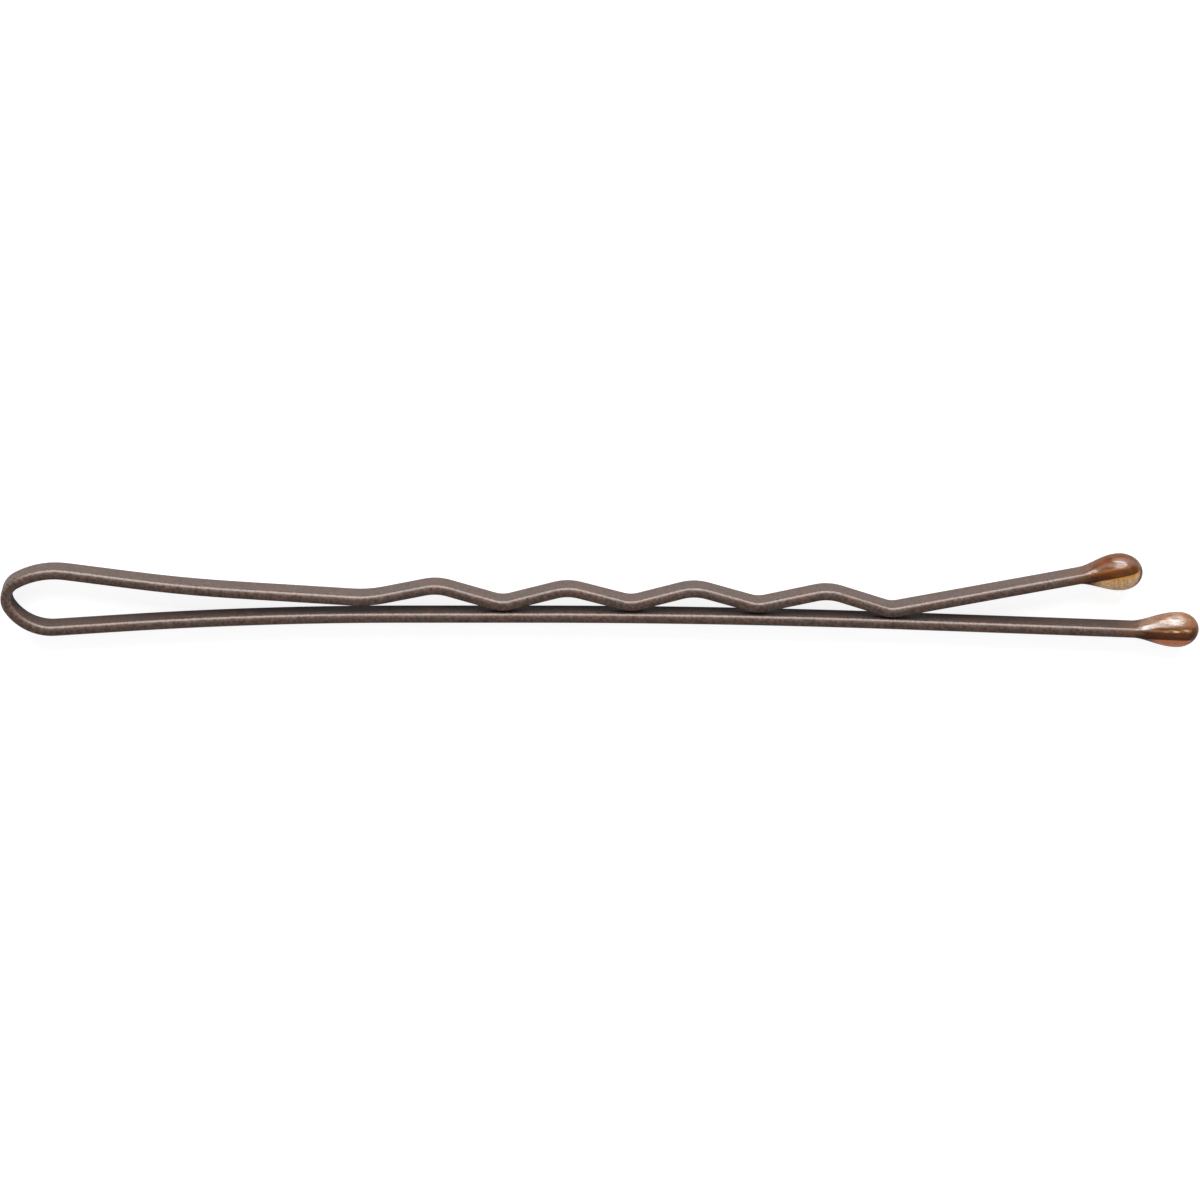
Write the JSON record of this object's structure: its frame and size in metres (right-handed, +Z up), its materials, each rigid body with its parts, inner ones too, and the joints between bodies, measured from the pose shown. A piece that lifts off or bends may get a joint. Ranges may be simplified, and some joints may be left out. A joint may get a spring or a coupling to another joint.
{
  "type": "bobby pin",
  "caption": "Sprung hair grip bent from flat painted steel strip, with one straight leg, one crimped leg and a clear amber resin drop on each end.",
  "frame": {"origin": "under the middle of the pin's bounding box, on the surface that the pin lies on", "axes": "+X from the closed end towards the tips, +Y from the straight leg towards the crimped leg, +Z up, across the width of the strip, as the pin lies on its side"},
  "size_m": [0.06, 0.0048, 0.0019],
  "materials": {
    "brown_enamel": "satin",
    "amber_resin": "gloss"
  },
  "bodies": {
    "spring_bend": {"spring_bend": "brown_enamel"},
    "straight_leg": {"straight_leg": "brown_enamel", "straight_leg_tip": "amber_resin"},
    "wavy_leg": {"wavy_leg": "brown_enamel", "wavy_leg_tip": "amber_resin"}
  },
  "joints": [
    {"name": "straight_leg_flex", "type": "hinge", "parent": "spring_bend", "child": "straight_leg", "pos_m": [-0.02354, -0.00145, 0.00093], "axis": [0, 0, -1], "range_deg": [0, 10], "stiffness_Nm_per_rad": 0.145, "springref_deg": -2.86},
    {"name": "wavy_leg_flex", "type": "hinge", "parent": "spring_bend", "child": "wavy_leg", "pos_m": [-0.02354, 0.00135, 0.00093], "axis": [0, 0, 1], "range_deg": [0, 10], "stiffness_Nm_per_rad": 0.145, "springref_deg": -2.86}
  ],
  "couplings": [
    {"joint": "wavy_leg_flex", "follows": "straight_leg_flex", "ratio": 1}
  ]
}
